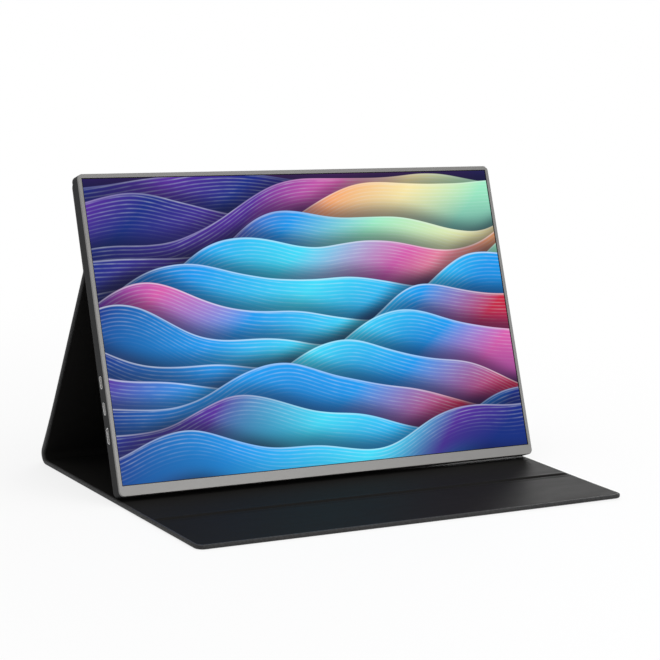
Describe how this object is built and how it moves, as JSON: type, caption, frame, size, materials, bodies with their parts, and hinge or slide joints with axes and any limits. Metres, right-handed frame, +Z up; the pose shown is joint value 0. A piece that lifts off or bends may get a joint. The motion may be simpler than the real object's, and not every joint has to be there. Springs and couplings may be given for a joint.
{
  "type": "portable monitor",
  "caption": "Slim flat portable monitor that leans in a folding leather-covered cover, which makes its base, rear leg and front flap.",
  "frame": {"origin": "middle of the whole object's box, on the surface that the base lies on", "axes": "+Z up, +X to the viewer's right as one faces the screen, +Y away from the viewer, towards the heel of the stand"},
  "size_m": [0.352, 0.2424, 0.2183],
  "materials": {
    "frame_metal": "fine bead-blasted mid grey anodising",
    "case_dark": "fine bead-blasted dark grey anodising",
    "key_metal": "satin dark grey anodising",
    "screen": "lit screen behind a smooth front film",
    "glass": "thin clear display glass",
    "clear_plastic": "clear optical sheet",
    "white_plastic": "plain white",
    "black_plastic": "plain black",
    "chip_black": "moulded black resin",
    "circuit_board": "green solder resist",
    "amber_film": "amber flexible circuit",
    "lead_plastic": "black insulated lead",
    "plate_metal": "plain sheet",
    "port_metal": "plated sheet",
    "screw_steel": "plain",
    "magnet_metal": "plated magnet",
    "cover_leather": "black coated leather, fine grain",
    "cover_board": "dense grey board",
    "cover_lining": "black brushed microfibre"
  },
  "bodies": {
    "base": {"base_skin": "cover_leather", "base_stiffener": "cover_board", "base_lining": "cover_lining", "heel_spine": "cover_leather"},
    "flap": {"flap_skin": "cover_leather", "flap_stiffener": "cover_board", "flap_lining": "cover_lining", "flap_magnets": "magnet_metal"},
    "leg": {"leg_skin": "cover_leather", "leg_stiffener": "cover_board", "leg_lining": "cover_lining"},
    "display": {"rear_cover": "case_dark", "front_frame": "frame_metal", "screen_film": "screen", "panel_tape": "black_plastic", "front_glass": "glass", "rear_glass": "glass", "optical_films": "clear_plastic", "light_guide": "clear_plastic", "reflector_sheet": "white_plastic", "backlight_frame": "white_plastic", "panel_back_plate": "plate_metal", "led_bar": "white_plastic", "driver_board": "circuit_board", "driver_films": "amber_film", "main_board": "circuit_board", "board_chips": "chip_black", "ribbon_sockets": "white_plastic", "panel_ribbon": "amber_film", "data_port_upper": "port_metal", "data_port_lower": "port_metal", "mini_video_port": "port_metal", "audio_jack": "black_plastic", "key_board": "circuit_board", "key_switches": "port_metal", "key_ribbon": "amber_film", "rocker_pin": "screw_steel", "board_screws": "screw_steel", "speaker_left": "black_plastic", "speaker_right": "black_plastic", "speaker_leads": "lead_plastic", "case_magnets": "magnet_metal", "upper_skin": "cover_leather", "upper_stiffener": "cover_board", "upper_lining": "cover_lining", "cover_magnets": "magnet_metal"},
    "power_key": {"power_button": "key_metal"},
    "menu_key": {"menu_rocker": "key_metal"}
  },
  "joints": [
    {"name": "leg_fold", "type": "hinge", "parent": "base", "child": "leg", "pos_m": [0, 0.11787, 0.00345], "axis": [1, 0, 0], "range_deg": [-20.4, 9]},
    {"name": "display_tilt", "type": "hinge", "parent": "leg", "child": "display", "pos_m": [0, 0.05819, 0.15137], "axis": [-1, 0, 0], "range_deg": [-40.8, 18]},
    {"name": "flap_fold", "type": "hinge", "parent": "base", "child": "flap", "pos_m": [0, -0.05813, 0.0016], "axis": [-1, 0, 0], "range_deg": [0, 100]},
    {"name": "power_press", "type": "slide", "parent": "display", "child": "power_key", "axis": [-1, 0, 0], "range_m": [0, 0.0003], "stiffness_N_per_m": 400},
    {"name": "menu_rock", "type": "hinge", "parent": "display", "child": "menu_key", "pos_m": [0.1737, 0.02425, 0.07928], "axis": [0, -0.9311, 0.3649], "range_deg": [-2.5, 2.5], "stiffness_Nm_per_rad": 0.02}
  ],
  "couplings": [
    {"joint": "leg_fold", "follows": "display_tilt", "ratio": 0.5}
  ]
}
